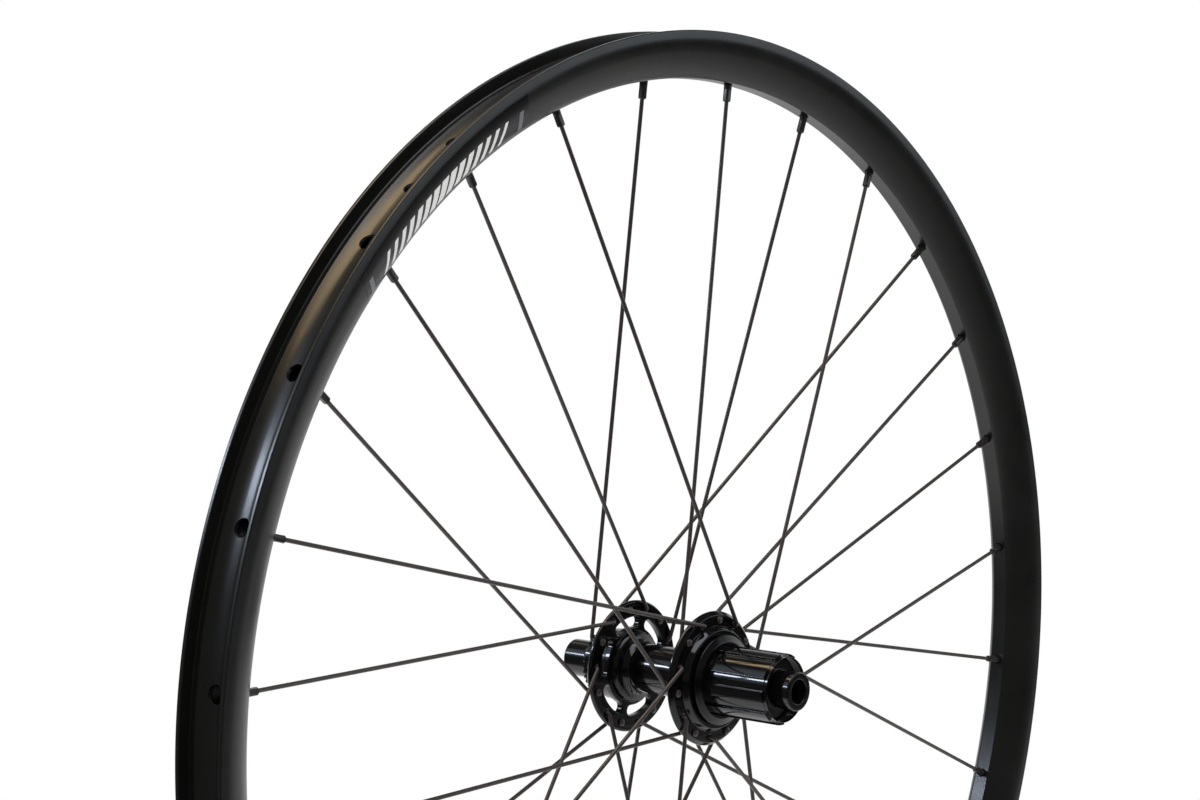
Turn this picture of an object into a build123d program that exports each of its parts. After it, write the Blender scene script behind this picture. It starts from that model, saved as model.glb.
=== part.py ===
"""Rear bicycle wheel: hollow alloy disc-brake rim, 28 crossed spokes, through-axle hub and freehub.

Millimetres. The origin is the wheel's centre, on the axle and midway between its end faces.
+Y runs along the axle to the disc side, -Y to the drive side, and +Z is up. Angles round
the axle are in degrees from +X towards +Z. A station is a distance along the axle from the
centre, positive to the disc side.
"""

import os
from math import asin, cos, degrees, radians, sin, sqrt, tan

from build123d import *

# Rim
bead_seat_radius = 311.0
rim_wall_height = 6.0
rim_depth = 23.0
rim_width = 28.4
rim_wall = 2.2
spoke_bed_width = 8.4
flank_bulge = 1.3
bead_seat_width = 4.6
channel_depth = 2.2
channel_floor_width = 10.4
tyre_bed_wall = 1.2
flank_wall = 1.0
spoke_bed_wall = 1.8
chamber_floor_width = 8.4
access_hole_diameter = 8.5
valve_hole_diameter = 6.5
valve_angle = 128.3

# Spokes and nipples; their wire, and the holes in the tyre bed, are drawn eight-sided
spoke_count = 28
crosses = 2
drawn_sides = 8
spoke_diameter = 2.0
spoke_clearance = 0.15
elbow_reach = 1.2
spoke_head_diameter = 3.8
spoke_head_height = 1.6
nipple_out = 8.8
nipple_flats = 3.4
nipple_corner = 0.7
nipple_hole_clearance = 0.3
nipple_head_diameter = 5.6
nipple_head_height = 2.2
nipple_head_lift = 0.6
thread_length = 9.0
thread_clearance = 0.05

# Hub shell
flange_diameter = 66.6
flange_thickness = 3.6
flange_chamfer = 0.7
flange_outer_chamfer = 1.8
spoke_hole_inset = 4.3
spoke_hole_clearance = 0.25
drive_flange_station = -19.6
disc_flange_station = 35.8
barrel_diameter = 24.6
drive_flare_wall = 2.7
drive_flare_length = 11.0
disc_dome_diameter = 36.8
disc_dome_length = 4.6
housing_head_gap = 0.9
housing_taper = 1.4
housing_length = 3.4
shell_bore = 20.8
slot_count = 6
slot_angle = 42.0
slot_inset = 6.5
slot_width = 5.2
slot_sweep = 34.5
rotor_boss_diameter = 36.0
rotor_shoulder_station = 43.4
rotor_spline_length = 8.2
rotor_spline_diameter = 33.8
rotor_spline_depth = 0.8
rotor_spline_teeth = 36
rotor_thread_diameter = 30.0

# Axle, what is stacked on it, and the four cartridge bearings
axle_spacing = 142.0
through_bore = 12.0
axle_diameter = 17.0
axle_collar_diameter = 19.6
end_cap_land = 5.0
end_cap_diameter = 18.8
bearing_diameter = 26.0
bearing_width = 5.0
bearing_clearance = 0.03
end_float = 0.05
disc_bearing_station = 43.0
drive_bearing_station = -16.0
inner_freehub_bearing_station = -29.0
outer_freehub_bearing_station = -55.0
hub_spacer_diameter = 20.4
freehub_spacer_diameter = 19.4
dust_lip_diameter = 28.6
dust_lip_thickness = 2.0
dust_lip_station = -59.0

# Drive ring and pawls
ratchet_teeth = 24
ratchet_tip_radius = 17.2
ratchet_tooth_depth = 1.6
drive_ring_width = 5.4
pawl_count = 3
pawl_angle = 20.0
pawl_width = 4.4
pawl_side_room = 0.25
pawl_pivot_radius = 15.3
pawl_boss_radius = 1.4
pawl_boss_clearance = 0.05
pawl_reach = 7.0
pawl_tip_radius = 18.3
pawl_tip_thickness = 1.9
pawl_tooth_gap = 0.3
pawl_floor_room = 0.45
spring_thickness = 0.2
spring_length = 2.6

# Freehub body and its seal
drum_gap = 0.5
drum_radius = 16.4
seal_clearance = 0.3
seal_thickness = 1.3
seal_height = 3.3
seal_seat_diameter = 34.0
freehub_shoulder_diameter = 44.4
freehub_shoulder_station = -26.6
freehub_shoulder_width = 2.4
freehub_cone_diameter = 37.8
freehub_cone_height = 1.4
freehub_bore = 20.8
spline_diameter = 34.9
spline_root_diameter = 32.6
spline_count = 9
spline_rib_angle = 145.0
spline_rib_sweep = 19.0
spline_end_station = -61.6
freehub_nose_diameter = 32.0
freehub_nose_length = 1.6
lockring_thread_diameter = 30.4

os.makedirs("parts", exist_ok=True)

edge_radius = bead_seat_radius + rim_wall_height
bed_radius = edge_radius - rim_depth
spoke_pitch = 360 / spoke_count
flange_holes = spoke_count // 2
cross_angle = crosses * 360 / flange_holes
flange_radius = flange_diameter / 2
spoke_circle = flange_radius - spoke_hole_inset
spoke_radius = spoke_diameter / 2
axle_radius = axle_diameter / 2
bearing_radius = bearing_diameter / 2


def around(radius, angle, station=0.0):
    """Point at a radius and an angle about the axle, at a station along it."""
    return Vector(radius * cos(radians(angle)), station, radius * sin(radians(angle)))


def across_axle(station):
    """Plane square to the axle at a station, facing the drive side."""
    return Plane.XZ.offset(-station)


def radial_plane(radius, angle):
    """Plane facing outwards along a radius of the wheel, its X along the axle."""
    outward = around(1, angle)
    return Plane(origin=outward * radius, x_dir=(0, 1, 0), z_dir=outward)


def finish(piece, name):
    """Label a finished piece and write it under its own name."""
    piece.part.label = name
    export_step(piece.part, f"parts/{name}.step")


def turned(name, *corners):
    """Ring or sleeve turned about the axle from its (radius, station) corners."""
    with BuildPart() as ring:
        with BuildSketch(Plane.XY):
            with BuildLine():
                Polyline(*corners, close=True)
            make_face()
        revolve(axis=Axis.Y)
    finish(ring, name)


def tube(name, outer, inner, start, end):
    """Plain tube round the axle between two stations."""
    turned(name, (inner, start), (outer, start), (outer, end), (inner, end))


class Lacing:
    """Line of one spoke, from its head in a flange to its nipple at the rim.

    Even spokes go to the drive flange and odd ones to the disc flange. Of every four, two
    lead and two trail, and on each flange half lie on the outer face and half on the inner.
    """

    def __init__(self, number):
        drive_side = number % 2 == 0
        outside = number % 4 in (1, 2)
        leading = number % 4 in (0, 1)
        outboard = -1 if drive_side else 1
        outer_face = drive_flange_station if drive_side else disc_flange_station
        inner_face = outer_face - outboard * flange_thickness
        lying_face = outer_face if outside else inner_face
        away = outboard if outside else -outboard
        self.rim_angle = valve_angle + (number + 0.5) * spoke_pitch
        self.hole_angle = self.rim_angle + (cross_angle if leading else -cross_angle)
        self.seat = around(bed_radius, self.rim_angle)
        # A spoke on the outer face leans in over the flange, so its elbow stands further out.
        lean = abs(lying_face) / (bed_radius - spoke_circle)
        flange_run = sqrt(flange_radius**2 - spoke_circle**2) if outside else 0
        stand_off = spoke_radius + spoke_clearance + lean * flange_run
        self.corner = around(spoke_circle, self.hole_angle, lying_face + away * stand_off)
        self.head = around(spoke_circle, self.hole_angle, inner_face if outside else outer_face)
        self.head_way = Vector(0, -away, 0)
        self.direction = (self.seat - self.corner).normalized()
        self.tip = self.seat - self.direction * nipple_out

    def across(self, distance):
        """Plane square to the spoke, at a distance from the nipple's tip towards the rim."""
        return Plane(origin=self.tip + self.direction * distance, x_dir=(0, 1, 0), z_dir=self.direction)


lacings = [Lacing(number) for number in range(spoke_count)]


def nipple_section(growth=0.0):
    """Square shank with its corners taken off, grown all round."""
    side = nipple_flats + 2 * growth
    square = Rectangle(side, side)
    chamfer(square.vertices(), nipple_corner)


# Rim: hollow extrusion, rolled into a hoop, with a hookless tyre channel
half_width = rim_width / 2
inner_half = half_width - rim_wall
bed_half = spoke_bed_width / 2
channel_radius = bead_seat_radius - channel_depth
channel_half = channel_floor_width / 2
chamber_floor = bed_radius + spoke_bed_wall
chamber_roof = channel_radius - tyre_bed_wall
chamber_middle = (chamber_floor + chamber_roof) / 2
flank_chord = Vector(bead_seat_radius - bed_radius, half_width - bed_half)
flank_out = Vector(-flank_chord.Y, flank_chord.X).normalized()
flank_peak = Vector(bed_radius, bed_half) + flank_chord * 0.5 + flank_out * flank_bulge
flank = ThreePointArc((bed_radius, bed_half), flank_peak, (bead_seat_radius, half_width), mode=Mode.PRIVATE)
low_flank = flank @ (1 / 3)
high_flank = flank @ (2 / 3)

with BuildPart() as rim:
    with BuildSketch(Plane.XY):
        with BuildLine():
            outside = Polyline(
                (bed_radius, 0),
                (bed_radius, bed_half),
                low_flank,
                high_flank,
                (bead_seat_radius, half_width),
                (edge_radius, half_width),
                (edge_radius, inner_half),
                (bead_seat_radius, inner_half),
                (bead_seat_radius, inner_half - bead_seat_width),
                (channel_radius, channel_half),
                (channel_radius, 0),
            )
            mirror(outside, about=Plane.XZ)
        make_face()
        with BuildLine():
            chamber = Polyline(
                (chamber_floor, 0),
                (chamber_floor, chamber_floor_width / 2),
                high_flank - (0, flank_wall),
                (bead_seat_radius - tyre_bed_wall, half_width - flank_wall - tyre_bed_wall / 2),
                (bead_seat_radius - tyre_bed_wall, inner_half - bead_seat_width + tyre_bed_wall / 2),
                (chamber_roof, channel_half + tyre_bed_wall / 2),
                (chamber_roof, 0),
            )
            mirror(chamber, about=Plane.XZ)
        make_face(mode=Mode.SUBTRACT)
    revolve(axis=Axis.Y)
    for lacing in lacings:
        with BuildSketch(radial_plane(chamber_middle, lacing.rim_angle)):
            RegularPolygon(access_hole_diameter / 2, drawn_sides, major_radius=False)
    extrude(amount=edge_radius - chamber_middle, mode=Mode.SUBTRACT)
    for lacing in lacings:
        with BuildSketch(lacing.across(0)):
            nipple_section(nipple_hole_clearance)
    extrude(amount=nipple_out + chamber_middle - bed_radius, mode=Mode.SUBTRACT)
    with BuildSketch(radial_plane(bed_radius - nipple_out, valve_angle)):
        Circle(valve_hole_diameter / 2)
    extrude(amount=edge_radius - bed_radius + nipple_out, mode=Mode.SUBTRACT)
finish(rim, "rim")

# Nipples: square-shanked nuts through the spoke bed, with their heads inside the rim
nipple_shank = nipple_out + spoke_bed_wall + nipple_head_lift

with BuildPart() as nipples:
    for lacing in lacings:
        with BuildSketch(lacing.across(0)):
            nipple_section()
    extrude(amount=nipple_shank)
    for lacing in lacings:
        with BuildSketch(lacing.across(nipple_shank)):
            RegularPolygon(nipple_head_diameter / 2, drawn_sides)
    extrude(amount=nipple_head_height)
    for lacing in lacings:
        with BuildSketch(lacing.across(0)):
            RegularPolygon(spoke_radius + thread_clearance, drawn_sides, major_radius=False)
    extrude(amount=thread_length + thread_clearance, mode=Mode.SUBTRACT)
finish(nipples, "nipples")

# Spokes: drawn wire with an elbow, a forged head at the flange and a thread in the nipple
for number, lacing in enumerate(lacings):
    with BuildPart() as spoke:
        with BuildLine():
            wire = Polyline(
                lacing.head,
                lacing.corner + lacing.head_way * elbow_reach,
                lacing.corner + lacing.direction * elbow_reach,
                lacing.tip + lacing.direction * thread_length,
            )
        with BuildSketch(Plane(origin=lacing.head, x_dir=(1, 0, 0), z_dir=lacing.head_way * -1)):
            RegularPolygon(spoke_radius, drawn_sides)
        sweep(path=wire, transition=Transition.RIGHT)
        with BuildSketch(Plane(origin=lacing.head, x_dir=(1, 0, 0), z_dir=lacing.head_way)):
            RegularPolygon(spoke_head_diameter / 2, drawn_sides)
        extrude(amount=spoke_head_height)
    finish(spoke, f"spoke_{number + 1:02d}")

# Hub shell: one turned alloy piece with both flanges, the rotor spline and all its seats
drive_flange_inner = drive_flange_station + flange_thickness
disc_flange_inner = disc_flange_station - flange_thickness
housing_station = drive_flange_station - housing_length
housing_base_radius = spoke_circle - spoke_head_diameter / 2 - housing_head_gap
housing_end_radius = housing_base_radius - housing_taper
seal_seat_radius = seal_seat_diameter / 2
cavity_radius = seal_seat_radius + seal_height + seal_clearance
slot_radius = spoke_circle - slot_inset
rotor_spline_end = rotor_shoulder_station + rotor_spline_length
disc_bearing_end = disc_bearing_station + bearing_width
drive_bearing_end = drive_bearing_station + bearing_width
barrel_radius = barrel_diameter / 2
dome_radius = disc_dome_diameter / 2
dome_start = disc_flange_inner - disc_dome_length
dome_shoulder = (
    barrel_radius + (dome_radius - barrel_radius) * sin(radians(60)),
    disc_flange_inner - disc_dome_length * sin(radians(60)),
)

with BuildPart() as hub_shell:
    with BuildSketch(Plane.XY):
        with BuildLine():
            Polyline(
                (barrel_radius, dome_start),
                dome_shoulder,
                (dome_radius, disc_flange_inner),
                (flange_radius - flange_chamfer, disc_flange_inner),
                (flange_radius, disc_flange_inner + flange_chamfer),
                (flange_radius, disc_flange_station - flange_outer_chamfer),
                (flange_radius - flange_outer_chamfer, disc_flange_station),
                (rotor_boss_diameter / 2, disc_flange_station),
                (rotor_boss_diameter / 2, rotor_shoulder_station),
                (0, rotor_shoulder_station),
                (0, housing_station),
                (housing_end_radius, housing_station),
                (housing_base_radius, drive_flange_station),
                (flange_radius - flange_outer_chamfer, drive_flange_station),
                (flange_radius, drive_flange_station + flange_outer_chamfer),
                (flange_radius, drive_flange_inner - flange_chamfer),
                (flange_radius - flange_chamfer, drive_flange_inner),
                (cavity_radius + drive_flare_wall, drive_flange_inner),
                (barrel_radius, drive_flange_inner + drive_flare_length),
                close=True,
            )
        make_face()
    revolve(axis=Axis.Y)
    with BuildSketch(across_axle(rotor_spline_end)):
        Circle(rotor_spline_diameter / 2 - rotor_spline_depth)
        tooth_width = rotor_spline_diameter * tan(radians(90 / rotor_spline_teeth))
        with PolarLocations(rotor_spline_diameter / 2 - rotor_spline_depth, rotor_spline_teeth):
            Rectangle(2 * rotor_spline_depth, tooth_width)
    extrude(amount=rotor_spline_length)
    with BuildSketch(Plane.XY):
        with BuildLine():
            Polyline(
                (0, housing_station),
                (cavity_radius, housing_station),
                (cavity_radius, drive_bearing_station),
                (bearing_radius, drive_bearing_station),
                (bearing_radius, drive_bearing_end),
                (shell_bore / 2, drive_bearing_end),
                (shell_bore / 2, disc_bearing_station),
                (bearing_radius, disc_bearing_station),
                (bearing_radius, disc_bearing_end),
                (rotor_thread_diameter / 2, disc_bearing_end),
                (rotor_thread_diameter / 2, rotor_spline_end),
                (0, rotor_spline_end),
                close=True,
            )
        make_face()
    revolve(axis=Axis.Y, mode=Mode.SUBTRACT)
    for inner_station, hole_angle in (
        (drive_flange_inner, lacings[0].hole_angle),
        (disc_flange_station, lacings[1].hole_angle),
    ):
        with BuildSketch(across_axle(inner_station)):
            with PolarLocations(spoke_circle, flange_holes, start_angle=hole_angle):
                RegularPolygon(spoke_radius + spoke_hole_clearance, drawn_sides, major_radius=False)
    with BuildSketch(across_axle(disc_flange_station)):
        with PolarLocations(0, slot_count, start_angle=slot_angle):
            SlotArc(CenterArc((0, 0), slot_radius, -slot_sweep / 2, slot_sweep), slot_width)
    extrude(amount=flange_thickness, mode=Mode.SUBTRACT)
finish(hub_shell, "hub_shell")

# Cartridge bearings: sealed units pressed into the shell and the freehub, turning on the axle
for name, station in (
    ("disc_side_bearing", disc_bearing_station),
    ("drive_side_bearing", drive_bearing_station),
    ("inner_freehub_bearing", inner_freehub_bearing_station),
    ("outer_freehub_bearing", outer_freehub_bearing_station),
):
    tube(name, bearing_radius, axle_radius + bearing_clearance, station, station + bearing_width)

# Axle: collared tube for a through axle, with the spacers, caps and dust lip stacked on it
axle_end = axle_spacing / 2 - end_cap_land
bore_radius = through_bore / 2
collar_radius = axle_collar_diameter / 2
collar_start = drive_bearing_end + end_float
collar_end = disc_bearing_station - end_float
turned(
    "axle",
    (bore_radius, -axle_end),
    (axle_radius, -axle_end),
    (axle_radius, collar_start),
    (collar_radius, collar_start),
    (collar_radius, collar_end),
    (axle_radius, collar_end),
    (axle_radius, axle_end),
    (bore_radius, axle_end),
)
tube(
    "hub_spacer",
    hub_spacer_diameter / 2,
    axle_radius,
    inner_freehub_bearing_station + bearing_width + end_float,
    drive_bearing_station - end_float,
)
tube(
    "freehub_spacer",
    freehub_spacer_diameter / 2,
    axle_radius,
    outer_freehub_bearing_station + bearing_width + end_float,
    inner_freehub_bearing_station - end_float,
)
cap_radius = end_cap_diameter / 2
turned(
    "disc_side_end_cap",
    (bore_radius, axle_spacing / 2),
    (cap_radius, axle_spacing / 2),
    (cap_radius, disc_bearing_end + end_float),
    (axle_radius, disc_bearing_end + end_float),
    (axle_radius, axle_end),
    (bore_radius, axle_end),
)
turned(
    "drive_side_end_cap",
    (bore_radius, -axle_spacing / 2),
    (cap_radius, -axle_spacing / 2),
    (cap_radius, dust_lip_station),
    (dust_lip_diameter / 2, dust_lip_station),
    (dust_lip_diameter / 2, dust_lip_station + dust_lip_thickness),
    (cap_radius, dust_lip_station + dust_lip_thickness),
    (cap_radius, outer_freehub_bearing_station - end_float),
    (axle_radius, outer_freehub_bearing_station - end_float),
    (axle_radius, -axle_end),
    (bore_radius, -axle_end),
)

# Drive ring: toothed steel ring pressed into the shell, its steep faces driven by the pawls
pawl_tip_out = sqrt(pawl_tip_radius**2 - pawl_reach**2) - pawl_pivot_radius
pawl_tip_angle = degrees(asin(pawl_reach / ratchet_tip_radius))
tooth_pitch = 360 / ratchet_teeth
steep_face_angle = pawl_angle + pawl_tip_angle + degrees(pawl_tooth_gap / ratchet_tip_radius)

with BuildPart() as drive_ring:
    with BuildSketch(across_axle(drive_bearing_station)):
        Circle(cavity_radius)
        with BuildLine():
            teeth = []
            for tooth in range(ratchet_teeth):
                angle = steep_face_angle + tooth * tooth_pitch
                for radius in (ratchet_tip_radius + ratchet_tooth_depth, ratchet_tip_radius):
                    point = around(radius, angle)
                    teeth.append((point.X, point.Z))
            Polyline(*teeth, close=True)
        make_face(mode=Mode.SUBTRACT)
    extrude(amount=drive_ring_width)
finish(drive_ring, "drive_ring")

# Freehub body: ribbed for the sprockets, with a drum for the pawls and a thread in its mouth
drum_station = drive_bearing_station - drum_gap
pocket_depth = pawl_width + 2 * pawl_side_room
shoulder_start = freehub_shoulder_station + freehub_shoulder_width
drum_end = drum_station - pocket_depth
freehub_end = spline_end_station - freehub_nose_length
pocket_floor = -pawl_boss_radius - pawl_floor_room
pocket_end = pawl_reach + pawl_floor_room

with BuildPart() as freehub_body:
    with BuildSketch(Plane.XY):
        with BuildLine():
            Polyline(
                (0, drum_station),
                (drum_radius, drum_station),
                (drum_radius, drum_end),
                (seal_seat_radius, drum_end),
                (seal_seat_radius, shoulder_start),
                (freehub_shoulder_diameter / 2, shoulder_start),
                (freehub_shoulder_diameter / 2, freehub_shoulder_station + freehub_cone_height),
                (freehub_cone_diameter / 2, freehub_shoulder_station),
                (spline_root_diameter / 2, freehub_shoulder_station),
                (spline_root_diameter / 2, spline_end_station),
                (freehub_nose_diameter / 2, spline_end_station),
                (freehub_nose_diameter / 2, freehub_end),
                (0, freehub_end),
                close=True,
            )
        make_face()
    revolve(axis=Axis.Y)
    with BuildSketch(across_axle(freehub_shoulder_station)):
        rib_half = spline_diameter * tan(radians(spline_rib_sweep / 2))
        with BuildLine():
            Polyline((0, 0), (spline_diameter, -rib_half), (spline_diameter, rib_half), close=True)
        rib = make_face(mode=Mode.PRIVATE)
        with PolarLocations(0, spline_count, start_angle=spline_rib_angle):
            add(rib)
        Circle(spline_diameter / 2, mode=Mode.INTERSECT)
        Circle(spline_root_diameter / 2)
    extrude(amount=freehub_shoulder_station - spline_end_station)
    with BuildSketch(Plane.XY):
        with BuildLine():
            Polyline(
                (0, drum_station),
                (bearing_radius, drum_station),
                (bearing_radius, inner_freehub_bearing_station),
                (freehub_bore / 2, inner_freehub_bearing_station),
                (freehub_bore / 2, outer_freehub_bearing_station + bearing_width),
                (bearing_radius, outer_freehub_bearing_station + bearing_width),
                (bearing_radius, outer_freehub_bearing_station),
                (lockring_thread_diameter / 2, outer_freehub_bearing_station),
                (lockring_thread_diameter / 2, freehub_end),
                (0, freehub_end),
                close=True,
            )
        make_face()
    revolve(axis=Axis.Y, mode=Mode.SUBTRACT)
    with BuildSketch(across_axle(drum_station)):
        with PolarLocations(pawl_pivot_radius, pawl_count, start_angle=pawl_angle):
            Circle(pawl_boss_radius + pawl_boss_clearance)
            with Locations((pocket_floor, 0)):
                Rectangle(drum_radius, pocket_end, align=(Align.MIN, Align.MIN))
    extrude(amount=pocket_depth, mode=Mode.SUBTRACT)
finish(freehub_body, "freehub_body")

# Pawls: sprung steel catches, each turning in a round seat in the drum
for number in range(pawl_count):
    with BuildPart() as pawl:
        with BuildSketch(across_axle(drum_station - pawl_side_room)):
            with PolarLocations(pawl_pivot_radius, 1, start_angle=pawl_angle + number * 360 / pawl_count):
                Circle(pawl_boss_radius)
                Polygon(
                    (pawl_boss_radius, 0),
                    (pawl_tip_out, pawl_reach),
                    (pawl_tip_out - pawl_tip_thickness, pawl_reach),
                    (-pawl_boss_radius, 0),
                    align=None,
                )
        extrude(amount=pawl_width)
    finish(pawl, f"pawl_{number + 1}")

# Pawl springs: flat leaves on the floors of the pawls' pockets
with BuildPart() as pawl_springs:
    with BuildSketch(across_axle(drum_station - pawl_side_room)):
        with PolarLocations(pawl_pivot_radius, pawl_count, start_angle=pawl_angle):
            with Locations((pocket_floor, pawl_boss_radius + pawl_floor_room)):
                Rectangle(spring_thickness, spring_length, align=(Align.MIN, Align.MIN))
    extrude(amount=pawl_width)
finish(pawl_springs, "pawl_springs")

# Seal: rubber ring on the freehub, closing the mouth of the drive housing
tube(
    "freehub_seal",
    cavity_radius - seal_clearance,
    seal_seat_radius,
    housing_station,
    housing_station + seal_thickness,
)
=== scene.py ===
"""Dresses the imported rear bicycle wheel: turned hub, laced spokes, anodised rim, white studio.

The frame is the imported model's, in metres: the origin is on the axle midway between its end
faces, +Y runs along the axle to the disc side and +Z is up. Sizes are written in millimetres.
Angles round the axle are in degrees from +X towards +Z, and a station is a distance along
the axle from the centre, positive to the disc side.
"""

from math import cos, pi, radians, sin, sqrt

import bmesh
import bpy
from mathutils import Matrix, Vector


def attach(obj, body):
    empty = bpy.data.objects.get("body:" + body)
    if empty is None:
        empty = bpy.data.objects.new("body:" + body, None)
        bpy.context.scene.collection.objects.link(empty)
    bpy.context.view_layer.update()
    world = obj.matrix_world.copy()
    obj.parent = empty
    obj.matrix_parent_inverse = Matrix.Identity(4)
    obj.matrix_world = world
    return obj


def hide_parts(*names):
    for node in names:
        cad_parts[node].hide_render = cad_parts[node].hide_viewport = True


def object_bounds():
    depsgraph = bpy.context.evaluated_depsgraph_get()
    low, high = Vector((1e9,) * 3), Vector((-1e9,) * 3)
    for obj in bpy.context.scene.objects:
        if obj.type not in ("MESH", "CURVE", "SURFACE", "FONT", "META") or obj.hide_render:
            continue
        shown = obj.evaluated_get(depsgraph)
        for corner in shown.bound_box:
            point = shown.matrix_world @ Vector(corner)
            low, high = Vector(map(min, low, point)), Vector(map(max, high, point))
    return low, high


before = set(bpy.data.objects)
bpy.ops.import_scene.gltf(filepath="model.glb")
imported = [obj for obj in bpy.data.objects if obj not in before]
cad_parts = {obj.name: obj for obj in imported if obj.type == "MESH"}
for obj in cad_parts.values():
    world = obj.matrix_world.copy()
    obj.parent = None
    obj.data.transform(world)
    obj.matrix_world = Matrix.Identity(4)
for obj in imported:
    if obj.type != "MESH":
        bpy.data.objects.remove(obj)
cad_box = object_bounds()

# Axle
# Hollow tube for the through axle, turned from alloy bar and dyed black, partly as painted
# shade that darkens its bore. Its collar keeps the two hub bearings apart, and both of its
# ends sit inside the end caps.
MM = 0.001
through_bore_radius = 6.0
axle_radius = 8.5
axle_collar_radius = 9.8
axle_end = 66.0
collar_drive_end = -10.95
collar_disc_end = 42.95


def linear(code):
    """Linear RGBA of an sRGB hex colour."""
    shares = [int(code[place:place + 2], 16) / 255 for place in (1, 3, 5)]
    rgb = [share / 12.92 if share <= 0.04045 else ((share + 0.055) / 1.055) ** 2.4 for share in shares]
    return rgb + [1]


def add(tree, kind, inputs=None, into=None, **settings):
    """Add a node, set or link its inputs and link it on; a node stands for its first output."""
    node = tree.nodes.new(kind)
    for name, value in settings.items():
        setattr(node, name, value)
    for name, value in (inputs or {}).items():
        if isinstance(value, bpy.types.Node):
            value = value.outputs[0]
        if isinstance(value, bpy.types.NodeSocket):
            tree.links.new(value, node.inputs[name])
        else:
            node.inputs[name].default_value = value
    if into:
        tree.links.new(node.outputs[0], into)
    return node


def finish_named(name, colour, roughness, metallic=0.0):
    """Start a finish: its material, its node tree, its shader and the place on the piece."""
    material = bpy.data.materials.new(name)
    material.use_nodes = True
    tree = material.node_tree
    shader = tree.nodes["Principled BSDF"]
    shader.inputs["Base Color"].default_value = linear(colour)
    shader.inputs["Roughness"].default_value = roughness
    shader.inputs["Metallic"].default_value = metallic
    return material, tree, shader, add(tree, "ShaderNodeTexCoord").outputs["Object"]


def off_the_lathe(name, colour, roughness):
    """Turned metal: tool rings round the axle draw its highlights out across them.

    The rings are drawn coarser than they are, so that they show.
    """
    ring_spacing = 0.35 * MM
    ring_depth = 0.01 * MM
    stain_width = 5 * MM
    stain_dulling = 0.07
    wave_length_at_scale_one = pi / 10
    material, tree, shader, place = finish_named(name, colour, roughness, metallic=1.0)
    rings = add(
        tree, "ShaderNodeTexWave",
        {"Vector": place, "Scale": wave_length_at_scale_one / ring_spacing,
         "Distortion": 0.8, "Detail": 2.0},
        bands_direction="Y",
    )
    add(
        tree, "ShaderNodeBump",
        {"Height": rings.outputs["Fac"], "Strength": 0.3, "Distance": ring_depth},
        into=shader.inputs["Normal"],
    )
    stains = add(tree, "ShaderNodeTexNoise", {"Vector": place, "Scale": 1 / stain_width, "Detail": 3.0})
    add(
        tree, "ShaderNodeMapRange",
        {"Value": stains, "From Min": 0.3, "From Max": 0.7,
         "To Min": roughness - stain_dulling, "To Max": roughness + stain_dulling},
        into=shader.inputs["Roughness"],
    )
    return material


def bent(start, pull, end, share):
    """Point at a share of the way along a curve that is pulled towards a point."""
    return start.lerp(pull, share).lerp(pull.lerp(end, share), share)


def eased(outline, ease=0.3, steps=4):
    """Round the corners of a closed outline; a corner's own ease may follow its two places."""
    most_of_a_side = 0.45
    nearly_straight = -0.96
    corners = [Vector(corner[:2]) for corner in outline]
    rounded = []
    for index, corner in enumerate(corners):
        back = corners[index - 1] - corner
        ahead = corners[(index + 1) % len(corners)] - corner
        if back.normalized().dot(ahead.normalized()) < nearly_straight:
            rounded.append(corner)
            continue
        own_ease = outline[index][2] if len(outline[index]) > 2 else ease
        reach = min(own_ease, back.length * most_of_a_side, ahead.length * most_of_a_side)
        start = corner + back.normalized() * reach
        end = corner + ahead.normalized() * reach
        rounded += [bent(start, corner, end, step / steps) for step in range(steps + 1)]
    return rounded


def turned(name, *outlines, hollow=None, segments=192):
    """Lathe closed (radius, station) outlines about the axle, a hollow facing inwards."""
    angles = [2 * pi * step / segments for step in range(segments)]
    mesh = bmesh.new()
    for outline in outlines + ((hollow,) if hollow else ()):
        pairs = list(zip(outline, outline[1:] + outline[:1]))
        anticlockwise = sum(a[0] * b[1] - b[0] * a[1] for a, b in pairs) > 0
        if anticlockwise == (outline is hollow):
            outline = outline[::-1]
        rings = []
        for radius, station in outline:
            rings.append([
                mesh.verts.new((radius * cos(angle) * MM, station * MM, radius * sin(angle) * MM))
                for angle in angles
            ])
        for ring, following in zip(rings, rings[1:] + rings[:1]):
            for step in range(segments):
                mesh.faces.new((ring[step - 1], following[step - 1], following[step], ring[step]))
    return from_bmesh(name, mesh)


def from_bmesh(name, mesh):
    """Object at the origin made of a finished bmesh."""
    data = bpy.data.meshes.new(name)
    mesh.to_mesh(data)
    mesh.free()
    piece = bpy.data.objects.new(name, data)
    bpy.context.collection.objects.link(piece)
    return piece


def plain(piece):
    """Keep what a piece's modifiers make as a plain mesh in its place."""
    name = piece.name
    graph = bpy.context.evaluated_depsgraph_get()
    mesh = bpy.data.meshes.new_from_object(piece.evaluated_get(graph))
    bpy.data.objects.remove(piece)
    made = bpy.data.objects.new(name, mesh)
    bpy.context.collection.objects.link(made)
    return made


def fitted(piece, body, slot, finish, *nodes, sharp=38):
    """Shade a piece, give it its finish and let it ride on its body in place of CAD nodes."""
    if finish:
        piece.data.materials.clear()
        piece.data.materials.append(finish)
    piece.data.shade_smooth()
    piece.data.set_sharp_from_angle(angle=radians(sharp))
    piece.modifiers.new("flat faces stay flat", "WEIGHTED_NORMAL").keep_sharp = True
    piece = plain(piece)
    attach(piece, body)
    if nodes:
        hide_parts(*nodes)
    return piece
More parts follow.
